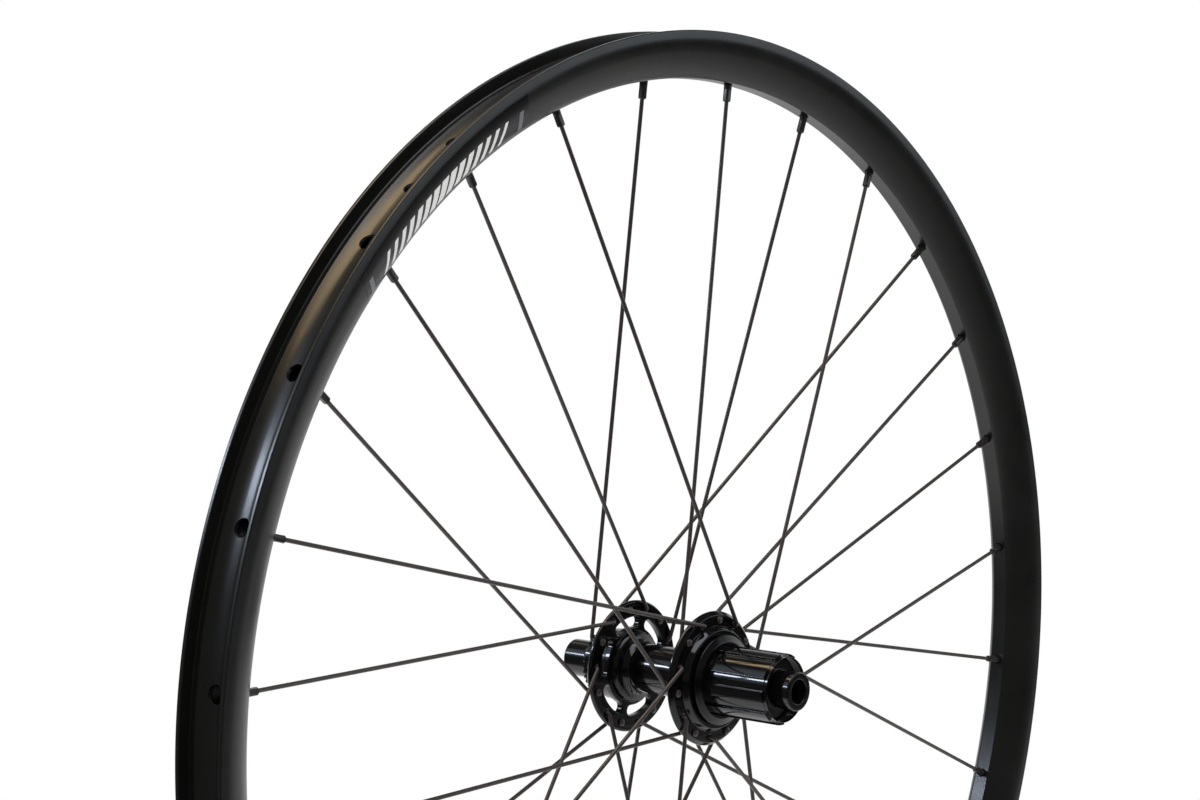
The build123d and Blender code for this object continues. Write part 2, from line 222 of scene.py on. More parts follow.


# Turned alloy dyed black: dull, with faint tool rings. The black is partly painted shade:
# it darkens the bore so that it reads as a dark hole.
black_turned_bore_shade = off_the_lathe("black_dyed_turned_aluminium", "#1a1a1b", 0.5)
axle_outline = [
    (through_bore_radius, -axle_end),
    (axle_radius, -axle_end),
    (axle_radius, collar_drive_end),
    (axle_collar_radius, collar_drive_end),
    (axle_collar_radius, collar_disc_end),
    (axle_radius, collar_disc_end),
    (axle_radius, axle_end),
    (through_bore_radius, axle_end),
]
axle_tube = turned("axle_tube", eased(axle_outline), segments=96)
fitted(axle_tube, "axle_group", "axle_alloy", black_turned_bore_shade, "axle")

# Bearings
# Four sealed cartridge bearings of ground steel: two pressed into the hub shell, two into the
# freehub. Each side is closed by a thin rubber seal that sits a little below the races.
bearing_radius = 13.0
bearing_bore_radius = 8.53
bearing_width = 5.0
disc_side_station = 43.0
drive_side_station = -16.0
inner_freehub_station = -29.0
outer_freehub_station = -55.0
race_wall = 1.45
race_ease = 0.2
seal_set_back = 0.35
seal_lip = 0.12
# Ground bearing steel: darker than alloy, with a brighter and tighter shine.
bearing_steel = off_the_lathe("ground_bearing_steel", "#8f9194", 0.22)


def moulded_rubber(name, colour):
    """Moulded black nitrile rubber: matt, with a faint grain from the mould's face."""
    grain_width = 0.5 * MM
    grain_depth = 0.06 * MM
    material, tree, shader, place = finish_named(name, colour, 0.6)
    grain = add(tree, "ShaderNodeTexNoise", {"Vector": place, "Scale": 1 / grain_width, "Detail": 4.0})
    add(
        tree, "ShaderNodeBump", {"Height": grain, "Strength": 0.35, "Distance": grain_depth},
        into=shader.inputs["Normal"],
    )
    add(
        tree, "ShaderNodeMapRange", {"Value": grain, "To Min": 0.5, "To Max": 0.7},
        into=shader.inputs["Roughness"],
    )
    return material


def ring_section(inner, outer, start, end):
    """Square-cornered (radius, station) outline of a plain ring."""
    return [(inner, start), (outer, start), (outer, end), (inner, end)]


nitrile_rubber = moulded_rubber("moulded_nitrile_rubber", "#161616")
inner_race_radius = bearing_bore_radius + race_wall
outer_race_radius = bearing_radius - race_wall
for place, station, body in (
    ("disc_side", disc_side_station, "wheel"),
    ("drive_side", drive_side_station, "wheel"),
    ("inner_freehub", inner_freehub_station, "freehub"),
    ("outer_freehub", outer_freehub_station, "freehub"),
):
    far = station + bearing_width
    races = turned(
        f"{place}_races",
        eased(ring_section(bearing_bore_radius, inner_race_radius, station, far), race_ease, 2),
        eased(ring_section(outer_race_radius, bearing_radius, station, far), race_ease, 2),
        segments=96,
    )
    seals = ring_section(
        inner_race_radius - seal_lip, outer_race_radius + seal_lip,
        station + seal_set_back, far - seal_set_back,
    )
    fitted(races, body, "bearing_steel", bearing_steel, f"{place}_bearing")
    fitted(turned(f"{place}_bearing_seals", seals, segments=96), body, "seal_rubber", nitrile_rubber)

# Lacing
# Lines of the 28 spokes, crossed twice: even ones go to the drive flange and odd ones to the
# disc flange. On each flange half lie on the outer face and half on the inner one.
spoke_count = 28
flange_holes = spoke_count // 2
spoke_pitch = 360 / spoke_count
cross_angle = 2 * 360 / flange_holes
valve_angle = 128.3
spoke_radius = 1.0
spoke_clearance = 0.15
flange_radius = 33.3
flange_thickness = 3.6
spoke_circle = 29.0
drive_flange_station = -19.6
disc_flange_station = 35.8
spoke_bed_radius = 294.0
nipple_out = 8.8


def around(radius, angle, station=0.0):
    """Point in metres at a radius and an angle about the axle, at a station along it."""
    return Vector((radius * cos(radians(angle)), station, radius * sin(radians(angle)))) * MM


lacings = []
for number in range(spoke_count):
    drive_side = number % 2 == 0
    outside = number % 4 in (1, 2)
    leading = number % 4 in (0, 1)
    outboard = -1 if drive_side else 1
    outer_face = drive_flange_station if drive_side else disc_flange_station
    inner_face = outer_face - outboard * flange_thickness
    lying_face = outer_face if outside else inner_face
    away = outboard if outside else -outboard
    rim_angle = valve_angle + (number + 0.5) * spoke_pitch
    hole_angle = rim_angle + (cross_angle if leading else -cross_angle)
    lean = abs(lying_face) / (spoke_bed_radius - spoke_circle)
    flange_run = sqrt(flange_radius**2 - spoke_circle**2) if outside else 0
    stand_off = spoke_radius + spoke_clearance + lean * flange_run
    corner = around(spoke_circle, hole_angle, lying_face + away * stand_off)
    seat = around(spoke_bed_radius, rim_angle)
    way = (seat - corner).normalized()
    lacings.append({
        "head": around(spoke_circle, hole_angle, inner_face if outside else outer_face),
        "head_way": Vector((0, -away, 0)),
        "corner": corner,
        "way": way,
        "nipple_tip": seat - way * nipple_out * MM,
        "rim_angle": rim_angle,
        "hole_angle": hole_angle,
    })

# Hub shell
# One forged and turned alloy piece: barrel, two drilled flanges, the drive housing, a slotted
# disc flange and a splined seat for a rotor. Polished, then anodised gloss black.
barrel_radius = 12.3
barrel_bore_radius = 10.4
flange_ease = 0.6
flange_web_radius = 31.5
flange_chamfer = 0.7
flange_outer_chamfer = 1.8
edge_lap = 1.0
edge_land = 0.7
edge_sink = 0.5
edge_proud = 0.02
drive_web_hole_radius = 21.5
disc_web_hole_radius = 16.5
spoke_hole_radius = 1.25
housing_base_radius = 26.2
housing_end_radius = 24.8
housing_station = -23.0
housing_chamfer = 0.5
housing_chamfer_length = 0.6
housing_step = 0.35
housing_step_start = 0.9
housing_step_end = 0.6
cavity_radius = 20.6
flare_radius = 23.3
flare_length = 11.0
flare_pull = (1.4, 4.2)
flare_sink = 0.3
flare_steps = 10
dome_radius = 18.4
dome_start = 6.6
dome_foot = (1.8, 4.3)
dome_shoulder = (1.0, 3.2)
dome_sink = 0.4
flange_lap = 1.0
rotor_boss_radius = 18.0
rotor_shoulder_station = 43.4
rotor_spline_end = 51.6
rotor_spline_radius = 16.9
rotor_root_radius = 16.1
rotor_spline_teeth = 36
rotor_mouth_radius = 15.0
rotor_mouth_lap = 0.5
spline_ease = 0.2
slot_count = 6
slot_angle = 42.0
slot_radius = 22.5
slot_half_width = 2.6
slot_half_sweep = 17.25


def anodised(name, colour, tint, roughness, grain_width, grain_depth):
    """Dyed anodised aluminium: near black under a clear skin, faintly uneven in dye and gloss."""
    cloud_width = 30 * MM
    material, tree, shader, place = finish_named(name, colour, roughness)
    clouds = add(tree, "ShaderNodeTexNoise", {"Vector": place, "Scale": 1 / cloud_width, "Detail": 3.0})
    shade = add(tree, "ShaderNodeValToRGB", {"Fac": clouds}, into=shader.inputs["Base Color"])
    shade.color_ramp.elements[0].color = linear(colour)
    shade.color_ramp.elements[1].color = linear(tint)
    grain = add(tree, "ShaderNodeTexNoise", {"Vector": place, "Scale": 1 / grain_width, "Detail": 2.0})
    add(
        tree, "ShaderNodeBump", {"Height": grain, "Strength": 0.25, "Distance": grain_depth},
        into=shader.inputs["Normal"],
    )
    add(
        tree, "ShaderNodeMapRange",
        {"Value": clouds, "From Min": 0.3, "From Max": 0.7,
         "To Min": roughness * 0.88, "To Max": roughness * 1.12},
        into=shader.inputs["Roughness"],
    )
    return material


def plate(name, outlines, start, end, ease):
    """Plate square to the axle, cut to (x, z) outlines, with its edges rounded by an ease."""
    curve = bpy.data.curves.new(name, "CURVE")
    curve.dimensions = "2D"
    curve.fill_mode = "BOTH"
    curve.extrude = (abs(end - start) / 2 - ease) * MM
    curve.bevel_depth = ease * MM
    curve.bevel_resolution = 2
    curve.offset = -ease * MM
    for outline in outlines:
        spline = curve.splines.new("POLY")
        spline.points.add(len(outline) - 1)
        for point, (across, up) in zip(spline.points, outline):
            point.co = (across * MM, up * MM, 0, 1)
        spline.use_cyclic_u = True
    piece = bpy.data.objects.new(name, curve)
    bpy.context.collection.objects.link(piece)
    piece = plain(piece)
    stand_up = Matrix.Rotation(pi / 2, 4, "X")
    piece.data.transform(Matrix.Translation((0, (start + end) / 2 * MM, 0)) @ stand_up)
    return piece


def spot(radius, angle, centre=(0, 0)):
    """(x, z) point at an angle in degrees round a centre."""
    return centre[0] + radius * cos(radians(angle)), centre[1] + radius * sin(radians(angle))


def circle(radius, centre=(0, 0), steps=32):
    """Round (x, z) outline."""
    return [spot(radius, 360 * step / steps, centre) for step in range(steps)]


def arc(radius, start, end, steps=12, centre=(0, 0)):
    """(x, z) points along an arc between two angles in degrees."""
    return [spot(radius, start + (end - start) * step / steps, centre) for step in range(steps + 1)]


def joined(name, *pieces):
    """One object of several pieces' meshes, with doubled points merged."""
    mesh = bmesh.new()
    for piece in pieces:
        mesh.from_mesh(piece.data)
        bpy.data.objects.remove(piece)
    bmesh.ops.remove_doubles(mesh, verts=mesh.verts, dist=0.0005 * MM)
    return from_bmesh(name, mesh)


# Gloss black anodising over a polished turning: crisp narrow streaks on a near-black ground.
# The marks of the polishing are drawn coarser than they are, so that they break the streaks.
gloss_black = anodised(
    "gloss_black_anodised_aluminium", "#050506", "#080809",
    roughness=0.09, grain_width=0.6 * MM, grain_depth=0.0006 * MM,
)
drive_inner_face = drive_flange_station + flange_thickness
disc_inner_face = disc_flange_station - flange_thickness
flare_start = Vector((barrel_radius, drive_inner_face + flare_length))
flare_middle = Vector((barrel_radius + flare_pull[0], drive_inner_face + flare_pull[1]))
flare_end = Vector((flare_radius, drive_inner_face - flare_sink))
flare = [bent(flare_start, flare_middle, flare_end, step / flare_steps) for step in range(flare_steps + 1)]
shell_outline = [
    (rotor_boss_radius, disc_flange_station - flange_lap),
    (rotor_boss_radius, rotor_shoulder_station, 0.6),
    (rotor_mouth_radius + rotor_mouth_lap, rotor_shoulder_station),
    (rotor_mouth_radius + rotor_mouth_lap, disc_side_station + bearing_width),
    (bearing_radius, disc_side_station + bearing_width),
    (bearing_radius, disc_side_station),
    (barrel_bore_radius, disc_side_station),
    (barrel_bore_radius, drive_side_station + bearing_width),
    (bearing_radius, drive_side_station + bearing_width),
    (bearing_radius, drive_side_station),
    (cavity_radius, drive_side_station),
    (cavity_radius, housing_station, 0.35),
    (housing_end_radius - housing_chamfer, housing_station, 0.3),
    (housing_end_radius, housing_station + housing_chamfer_length, 0.3),
    (housing_base_radius - housing_step, drive_flange_station - housing_step_start, 0.1),
    (housing_base_radius, drive_flange_station - housing_step_end, 0.25),
    (housing_base_radius, drive_flange_station + flange_lap),
    *reversed(flare),
    (barrel_radius, disc_inner_face - dome_start, 2.2),
    (barrel_radius + dome_foot[0], disc_inner_face - dome_foot[1], 0.5),
    (dome_radius - dome_shoulder[0], disc_inner_face - dome_shoulder[1], 1.5),
    (dome_radius, disc_inner_face + dome_sink),
]
shell = turned("hub_shell_turning", eased(shell_outline, 0.2))
slots = []
for number in range(slot_count):
    middle = slot_angle + number * 360 / slot_count
    start = middle - slot_half_sweep
    end = middle + slot_half_sweep
    start_centre = spot(slot_radius, start)
    end_centre = spot(slot_radius, end)
    slots.append(
        arc(slot_radius + slot_half_width, start, end)
        + arc(slot_half_width, end, end + 180, 12, end_centre)[1:]
        + arc(slot_radius - slot_half_width, end, start)[1:]
        + arc(slot_half_width, start + 180, start + 360, 12, start_centre)[1:-1]
    )
flanges = []
for name, outer_face, inner_face, hole_radius, first, cut_outs in (
    ("drive_flange", drive_flange_station, drive_inner_face, drive_web_hole_radius, 0, []),
    ("disc_flange", disc_flange_station, disc_inner_face, disc_web_hole_radius, 1, slots),
):
    outlines = [circle(flange_web_radius, steps=192), circle(hole_radius, steps=96)]
    for lacing in lacings[first::2]:
        hole_centre = spot(spoke_circle, lacing["hole_angle"])
        outlines.append(circle(spoke_hole_radius, hole_centre, 20))
    flanges.append(plate(name, outlines + cut_outs, inner_face, outer_face, flange_ease))
    out = 1 if outer_face > inner_face else -1
    edge_outline = [
        (flange_web_radius - edge_lap, inner_face + out * edge_sink),
        (flange_web_radius - edge_land, inner_face - out * edge_proud),
        (flange_radius - flange_chamfer, inner_face - out * edge_proud, 0.4),
        (flange_radius, inner_face + out * flange_chamfer, 0.4),
        (flange_radius, outer_face - out * flange_outer_chamfer, 0.7),
        (flange_radius - flange_outer_chamfer, outer_face + out * edge_proud, 0.7),
        (flange_web_radius - edge_land, outer_face + out * edge_proud),
        (flange_web_radius - edge_lap, outer_face - out * edge_sink),
    ]
    flanges.append(turned(f"{name}_edge", eased(edge_outline, 0.05)))
rotor_teeth = []
quarter_pitch = 90 / rotor_spline_teeth
tip_half = 0.7 * quarter_pitch
root_start = 1.2 * quarter_pitch
root_stop = 1.8 * quarter_pitch
for tooth in range(rotor_spline_teeth):
    middle = tooth * 360 / rotor_spline_teeth
    rotor_teeth += arc(rotor_root_radius, middle - 2 * quarter_pitch, middle - root_start, 2)
    rotor_teeth += arc(rotor_spline_radius, middle - tip_half, middle + tip_half, 2)
    rotor_teeth += arc(rotor_root_radius, middle + root_start, middle + root_stop, 1)
rotor_seat = plate(
    "rotor_seat", [rotor_teeth, circle(rotor_mouth_radius, steps=96)],
    rotor_shoulder_station - spline_ease, rotor_spline_end, spline_ease,
)
hub_shell = joined("hub_shell_body", shell, *flanges, rotor_seat)
fitted(hub_shell, "wheel", "hub_anodised", gloss_black, "hub_shell")

# Freehub body
# Carrier for the sprockets, milled with nine ribs from alloy and anodised gloss black. A drum
# behind it holds the pawls, and a fine thread in its mouth takes the ring that locks them on.
drum_radius = 16.4
drum_station = -16.5
drum_end = -21.4
seal_seat_radius = 17.0
freehub_shoulder_radius = 22.2
freehub_cone_radius = 18.9
freehub_cone_height = 1.4
freehub_shoulder_start = -24.2
freehub_shoulder_station = -26.6
freehub_bore_radius = 10.4
spline_radius = 17.45
spline_root_radius = 16.3
spline_count = 9
spline_pitch = 360 / spline_count
spline_rib_angle = 145.0
spline_rib_half_sweep = 9.5
spline_end_station = -61.6
spline_lap = 0.1
freehub_nose_radius = 16.0
freehub_end = -63.2
thread_radius = 15.2
thread_groove_radius = 15.65
thread_pitch = 1.0
thread_crest = 0.15
thread_ease = 0.08
thread_run_out = 0.4
pawl_count = 3
pawl_angle = 20.0
pawl_pivot_radius = 15.3
pawl_seat_radius = 1.45
pocket_floor = -1.85
pocket_top = 4.0
pocket_reach = 7.45
pocket_past_drum = 1.0


def rule(name, **sockets):
    """Start a Geometry Nodes tree with named inputs, given as the kinds of their sockets."""
    tree = bpy.data.node_groups.new(name, "GeometryNodeTree")
    tree.interface.new_socket(name="Made", in_out="OUTPUT", socket_type="NodeSocketGeometry")
    for label, kind in sockets.items():
        tree.interface.new_socket(name=label, in_out="INPUT", socket_type=f"NodeSocket{kind}")
    return tree, add(tree, "NodeGroupInput").outputs


def end_rule(tree, geometry, finish):
    """End a tree as every tree here ends: real geometry, in one finish."""
    real = add(tree, "GeometryNodeRealizeInstances", {"Geometry": geometry})
    painted = add(tree, "GeometryNodeSetMaterial", {"Geometry": real, "Material": finish})
    add(tree, "NodeGroupOutput", {"Made": painted})
    return tree


def made_by(tree, name, carrier=None, **values):
    """Run a tree with these inputs and keep what it makes as a plain mesh."""
    piece = carrier or bpy.data.objects.new(name, bpy.data.meshes.new(name))
    if not carrier:
        bpy.context.collection.objects.link(piece)
    modifier = piece.modifiers.new(name, "NODES")
    modifier.node_group = tree
    for item in tree.interface.items_tree:
        if item.in_out == "INPUT" and item.name in values:
            modifier[item.identifier] = values[item.name]
    piece = plain(piece)
    if "Template" in values:
        bpy.data.objects.remove(values["Template"])
    return piece


tree, given = rule(
    "copies_round_axle", Template="Object", Copies="Int", First_angle="Float", Finish="Material"
)
template = add(tree, "GeometryNodeObjectInfo", {"Object": given["Template"]})
centres = add(tree, "GeometryNodePoints", {"Count": given["Copies"]})
index = add(tree, "GeometryNodeInputIndex")
turn = add(tree, "ShaderNodeMath", {0: 360.0, 1: given["Copies"]}, operation="DIVIDE")
degrees = add(
    tree, "ShaderNodeMath",
    {0: index, 1: turn, 2: given["First_angle"]}, operation="MULTIPLY_ADD",
)
about_axle = add(tree, "ShaderNodeMath", {0: degrees, 1: radians(-1)}, operation="MULTIPLY")
facing = add(tree, "ShaderNodeCombineXYZ", {"Y": about_axle})
copies = add(
    tree, "GeometryNodeInstanceOnPoints",
    {"Points": centres, "Instance": template.outputs["Geometry"], "Rotation": facing},
)
copies_round_axle = end_rule(tree, copies, given["Finish"])


def cut(piece, cutter):
    """Cut one piece by another, whose finish stays on the cut faces."""
    hole = piece.modifiers.new("cut", "BOOLEAN")
    hole.solver = "EXACT"
    hole.operation = "DIFFERENCE"
    hole.material_mode = "TRANSFER"
    hole.object = cutter
    piece = plain(piece)
    bpy.data.objects.remove(cutter)
    return piece


threads = []
crest = outer_freehub_station
while crest - thread_pitch > freehub_end + thread_run_out:
    threads += [
        (thread_radius, crest - thread_crest, thread_ease),
        (thread_groove_radius, crest - thread_pitch / 2, thread_ease),
    ]
    crest -= thread_pitch
core_outline = [
    (bearing_radius, drum_station),
    (drum_radius, drum_station),
    (drum_radius, drum_end),
    (seal_seat_radius, drum_end),
    (seal_seat_radius, freehub_shoulder_start),
    (freehub_shoulder_radius, freehub_shoulder_start, 0.3),
    (freehub_shoulder_radius, freehub_shoulder_station + freehub_cone_height, 0.3),
    (freehub_cone_radius, freehub_shoulder_station, 0.15),
    (spline_root_radius - spline_lap, freehub_shoulder_station),
    (spline_root_radius - spline_lap, spline_end_station),
    (freehub_nose_radius, spline_end_station - spline_lap),
    (freehub_nose_radius, freehub_end, 0.5),
    (thread_groove_radius, freehub_end, 0.3),
    *reversed(threads),
    (thread_radius, outer_freehub_station),
    (bearing_radius, outer_freehub_station),
    (bearing_radius, outer_freehub_station + bearing_width),
    (freehub_bore_radius, outer_freehub_station + bearing_width),
    (freehub_bore_radius, inner_freehub_station),
    (bearing_radius, inner_freehub_station),
]
core = turned("freehub_core", eased(core_outline, 0.2))
ribbed = []
for rib in range(spline_count):
    middle = spline_rib_angle + rib * spline_pitch
    rib_end = middle + spline_rib_half_sweep
    next_rib = middle + spline_pitch - spline_rib_half_sweep
    ribbed += [(*point, 0.2) for point in arc(spline_radius, middle - spline_rib_half_sweep, rib_end, 8)]
    ribbed += [(*point, 0.5) for point in arc(spline_root_radius, rib_end, next_rib, 8)]
splines = plate(
    "freehub_splines",
    [eased(ribbed, steps=3), circle(thread_groove_radius + spline_lap, steps=96)],
    spline_end_station, freehub_shoulder_station + spline_ease, spline_ease,
)
pocket_outline = [
    (pocket_floor, 0), (pocket_floor, pocket_reach), (pocket_top, pocket_reach), (pocket_top, 0),
    *arc(pawl_seat_radius, 0, -180, 10),
]
pocket = plate(
    "pawl_pocket", [[(pawl_pivot_radius + out, along) for out, along in pocket_outline]],
    drum_end, drum_station + pocket_past_drum, 0,
)
pockets = made_by(
    copies_round_axle, "pawl_pockets",
    Template=pocket, Copies=pawl_count, First_angle=pawl_angle, Finish=gloss_black,
)
core.data.materials.append(gloss_black)
freehub = joined("freehub_carrier", cut(core, pockets), splines)
fitted(freehub, "freehub", "freehub_anodised", gloss_black, "freehub_body")

# Freehub seal
# Rubber ring pressed over the freehub, closing the mouth of the drive housing with a thin lip.
# Moulded in black nitrile, so it stays matt beside the gloss of the hub.
seal_outer_radius = 20.3
seal_station = -21.7
lip_width = 0.6
lip_slope = 0.1
groove_inset = 1.0
groove_depth = 0.5
seal_outline = [
    (seal_seat_radius, seal_station),
    (seal_outer_radius, seal_station),
    (seal_outer_radius, housing_station + 2 * lip_slope),
    (seal_outer_radius - lip_width, housing_station + lip_slope),
    (seal_outer_radius - groove_inset, housing_station + groove_depth),
    (seal_seat_radius + groove_inset, housing_station + groove_depth),
    (seal_seat_radius + lip_width, housing_station),
    (seal_seat_radius, housing_station),
]
seal_ring = turned("freehub_seal_ring", eased(seal_outline, 0.25))
fitted(seal_ring, "freehub", "seal_rubber", nitrile_rubber, "freehub_seal")

# Drive ring, pawls, springs and spacers
# The clutch hidden in the hub: a hardened ring with saw teeth, three sprung pawls that catch
# in it, and sleeves that hold the bearings apart. They keep their CAD shapes.

# Bare aluminium turned and left uncoated: pale, with a soft sheen stretched along the axle.
bare_aluminium = off_the_lathe("bare_turned_aluminium", "#b4b6b9", 0.34)
# Hardened and ground tool steel, oiled: dark and fairly bright.
ratchet_steel = off_the_lathe("hardened_ratchet_steel", "#6f7072", 0.3)
# Rolled spring strip, blued by its heat treatment: darker still, with a cold tint.
spring_steel = off_the_lathe("blued_spring_steel", "#4d5563", 0.28)
for metal, nodes in (
    (ratchet_steel, ("drive_ring", "pawl_1", "pawl_2", "pawl_3")),
    (spring_steel, ("pawl_springs",)),
    (bare_aluminium, ("hub_spacer", "freehub_spacer")),
):
    for node in nodes:
        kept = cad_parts[node]
        kept.data.materials.clear()
        kept.data.materials.append(metal)

# End caps
# Caps that push onto the axle and meet the frame, turned from alloy and anodised black. The
# drive-side one carries a dust lip that covers the outer freehub bearing.
end_cap_radius = 9.4
axle_half = 71.0
disc_cap_start = 48.05
drive_cap_start = -55.05
dust_lip_radius = 14.3
dust_lip_inner = -57.0
dust_lip_outer = -59.0
# Black anodising over fine turning: glossy, but a shade paler and softer than the hub shell.
cap_black = anodised(
    "black_anodised_fine_turning", "#080809", "#0c0c0d",
    roughness=0.12, grain_width=0.5 * MM, grain_depth=0.0006 * MM,
)
disc_cap_outline = [
    (through_bore_radius, axle_half, 0.5),
    (end_cap_radius, axle_half, 0.7),
    (end_cap_radius, disc_cap_start),
    (axle_radius, disc_cap_start),
    (axle_radius, axle_end),
    (through_bore_radius, axle_end),
]
drive_cap_outline = [
    (through_bore_radius, -axle_half, 0.5),
    (end_cap_radius, -axle_half, 0.7),
    (end_cap_radius, dust_lip_outer, 0.5),
    (dust_lip_radius, dust_lip_outer, 0.4),
    (dust_lip_radius, dust_lip_inner),
    (end_cap_radius, dust_lip_inner),
    (end_cap_radius, drive_cap_start),
    (axle_radius, drive_cap_start),
    (axle_radius, -axle_end),
    (through_bore_radius, -axle_end),
]
for side, outline in (("disc_side", disc_cap_outline), ("drive_side", drive_cap_outline)):
    cap = turned(f"{side}_cap", eased(outline))
    fitted(cap, "axle_group", "end_cap_anodised", cap_black, f"{side}_end_cap")

# Spokes
# Drawn stainless wire with a cold-forged elbow and head, blackened by a thin coating. Each is
# pushed through its flange until the head stops it, and pulled straight by its nipple.
elbow_radius = 1.9
butted_share = 0.62
butt_start = 18.0
butt_end = 28.0
head_radius = 1.9
head_height = 1.6
head_side = 0.7
head_chamfer = (0.2, 0.25)
thread_hidden = 9.0


def blackened_wire(name, colour, tint, roughness):
    """Black coating on drawn steel: dark and half glossy, faintly mottled along the wire."""
    mottle_width = 3 * MM
    mottle_depth = 0.003 * MM
    material, tree, shader, place = finish_named(name, colour, roughness)
    mottle = add(tree, "ShaderNodeTexNoise", {"Vector": place, "Scale": 1 / mottle_width, "Detail": 1.0})
    shade = add(tree, "ShaderNodeValToRGB", {"Fac": mottle}, into=shader.inputs["Base Color"])
    shade.color_ramp.elements[0].color = linear(colour)
    shade.color_ramp.elements[1].color = linear(tint)
    add(
        tree, "ShaderNodeMapRange",
        {"Value": mottle, "From Min": 0.3, "From Max": 0.7,
         "To Min": roughness * 0.9, "To Max": roughness * 1.1},
        into=shader.inputs["Roughness"],
    )
    add(
        tree, "ShaderNodeBump", {"Height": mottle, "Strength": 0.2, "Distance": mottle_depth},
        into=shader.inputs["Normal"],
    )
    return material


black_spoke_steel = blackened_wire("black_coated_stainless_wire", "#322b29", "#3b3330", 0.33)
tree, given = rule(
    "wires_along_lines", Lines="Geometry", Wire_radius="Float", Elbow_radius="Float", Finish="Material"
)
lines = add(tree, "GeometryNodeMeshToCurve", {"Mesh": given["Lines"]})
elbows = add(
    tree, "GeometryNodeFilletCurve",
    {"Curve": lines, "Radius": given["Elbow_radius"], "Count": 8, "Limit Radius": True}, mode="POLY",
)
gauge = add(tree, "GeometryNodeInputNamedAttribute", {"Name": "gauge"}, data_type="FLOAT")
butted = add(tree, "GeometryNodeSetCurveRadius", {"Curve": elbows, "Radius": gauge})
section = add(tree, "GeometryNodeCurvePrimitiveCircle", {"Resolution": 20, "Radius": given["Wire_radius"]})
wires = add(
    tree, "GeometryNodeCurveToMesh", {"Curve": butted, "Profile Curve": section, "Fill Caps": True}
)
wires_along_lines = end_rule(tree, wires, given["Finish"])

line_mesh = bmesh.new()
gauge_layer = line_mesh.verts.layers.float.new("gauge")
for lacing in lacings:
    corner, tip, way = lacing["corner"], lacing["nipple_tip"], lacing["way"]
    points = []
    for place, share in (
        (lacing["head"], 1.0),
        (corner, 1.0),
        (corner + way * butt_start * MM, 1.0),
        (corner + way * butt_end * MM, butted_share),
        (tip - way * butt_end * MM, butted_share),
        (tip - way * butt_start * MM, 1.0),
        (tip + way * thread_hidden * MM, 1.0),
    ):
        points.append(line_mesh.verts.new(place))
        points[-1][gauge_layer] = share
    for near, far in zip(points, points[1:]):
        line_mesh.edges.new((near, far))
spokes = made_by(
    wires_along_lines, "spokes", carrier=from_bmesh("spokes", line_mesh),
    Wire_radius=spoke_radius * MM, Elbow_radius=elbow_radius * MM, Finish=black_spoke_steel,
)
fitted(
    spokes, "wheel", "spoke_steel", black_spoke_steel,
    *[f"spoke_{number + 1:02d}" for number in range(spoke_count)], sharp=60,
)

tree, given = rule("fittings_along_ways", Seats="Geometry", Template="Object", Finish="Material")
template = add(tree, "GeometryNodeObjectInfo", {"Object": given["Template"]})
way = add(tree, "GeometryNodeInputNamedAttribute", {"Name": "way"}, data_type="FLOAT_VECTOR")
along = add(tree, "FunctionNodeAlignRotationToVector", {"Vector": way}, axis="Z")
fittings = add(
    tree, "GeometryNodeInstanceOnPoints",
    {"Points": given["Seats"], "Instance": template.outputs["Geometry"], "Rotation": along},
)
fittings_along_ways = end_rule(tree, fittings, given["Finish"])


def set_out(name, template, finish, seats):
    """One piece of copies of a template, at seats that each have a point and a way to face."""
    mesh = bmesh.new()
    layer = mesh.verts.layers.float_vector.new("way")
    for point, way in seats:
        mesh.verts.new(point)[layer] = way
    carrier = from_bmesh(name, mesh)
    return made_by(fittings_along_ways, name, carrier=carrier, Template=template, Finish=finish)


def spun(name, outline, sides=24):
    """Closed form round its own Z from (height, radius) steps, squared off where a step asks."""
    mesh = bmesh.new()
    rings = []
    for height, radius, *flat in outline:
        ring = []
        for side in range(sides):
            angle = 2 * pi * (side + 0.5) / sides
            reach = radius
            if flat:
                reach = min(flat[0] / max(abs(cos(angle)), abs(sin(angle))), radius)
            ring.append(mesh.verts.new((reach * cos(angle) * MM, reach * sin(angle) * MM, height * MM)))
        rings.append(ring)
    for ring, following in zip(rings, rings[1:]):
        for side in range(sides):
            mesh.faces.new((ring[side - 1], ring[side], following[side], following[side - 1]))
    mesh.faces.new(rings[0][::-1])
    mesh.faces.new(rings[-1])
    bmesh.ops.recalc_face_normals(mesh, faces=mesh.faces)
    return from_bmesh(name, mesh)


head_steps = [
    (0.0, head_radius - head_chamfer[1]),
    (head_chamfer[0], head_radius),
    (head_side, head_radius),
]
for angle in (20, 40, 60, 76, 86):
    rise = (head_height - head_side) * sin(radians(angle))
    head_steps.append((head_side + rise, head_radius * cos(radians(angle))))
head_seats = [(lacing["head"], lacing["head_way"]) for lacing in lacings]
heads = set_out("spoke_heads", spun("spoke_head", head_steps), black_spoke_steel, head_seats)
fitted(heads, "wheel", "spoke_steel", black_spoke_steel, sharp=50)

# Nipples
# Square-shanked nuts of black anodised alloy, screwed onto the spokes from inside the rim.
# Their round collars fill the holes in the spoke bed, and their heads bear on it from inside.
nipple_flat = 1.6
nipple_corner = 1.95
collar_radius = 2.0
nipple_head_radius = 2.8
